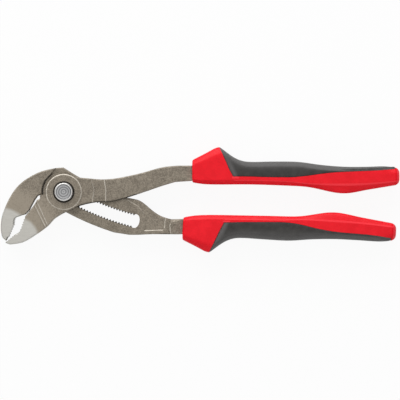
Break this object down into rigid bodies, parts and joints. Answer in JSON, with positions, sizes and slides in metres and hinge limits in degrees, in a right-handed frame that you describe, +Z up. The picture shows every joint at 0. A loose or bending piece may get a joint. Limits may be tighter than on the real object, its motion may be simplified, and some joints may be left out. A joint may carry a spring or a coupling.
{
  "type": "water pump pliers",
  "caption": "Slip-joint pliers with angled toothed jaws, a curved adjusting slot through a box joint, a push-button lock and two-material grips.",
  "frame": {"origin": "on the pivot axis at table level, at the middle of the pin's rear flange, with the tool lying flat", "axes": "+X from the pivot towards the grips, +Y towards the upper handle, +Z up, out of the button side"},
  "size_m": [0.2513, 0.0662, 0.018],
  "materials": {
    "forged_steel": "forged, blasted and phosphated, with ground jaw tips",
    "bright_steel": "turned and plated",
    "red_plastic": "satin moulded",
    "grey_rubber": "soft matt moulded"
  },
  "bodies": {
    "upper_handle": {"upper_lever": "forged_steel", "upper_grip_shell": "red_plastic", "upper_grip_pad": "grey_rubber"},
    "pivot": {"pivot_pin": "bright_steel", "guide_block": "bright_steel", "button_spring": "bright_steel"},
    "lower_handle": {"lower_lever": "forged_steel", "lower_grip_shell": "red_plastic", "lower_grip_pad": "grey_rubber"},
    "button": {"push_button": "bright_steel", "locking_key": "bright_steel", "key_clip": "bright_steel"}
  },
  "joints": [
    {"name": "jaw_pivot", "type": "hinge", "parent": "upper_handle", "child": "pivot", "pos_m": [0, 0, 0.0085], "axis": [0, 0, -1], "range_deg": [0, 40]},
    {"name": "slot_adjust", "type": "hinge", "parent": "pivot", "child": "lower_handle", "pos_m": [0.08424, 0.14188, 0.0085], "axis": [0, 0, -1], "range_deg": [0, 14.9]},
    {"name": "button_push", "type": "slide", "parent": "pivot", "child": "button", "axis": [0, 0, -1], "range_m": [0, 0.0021], "stiffness_N_per_m": 800, "springref_m": -0.003, "deforming": ["button_spring"]}
  ]
}
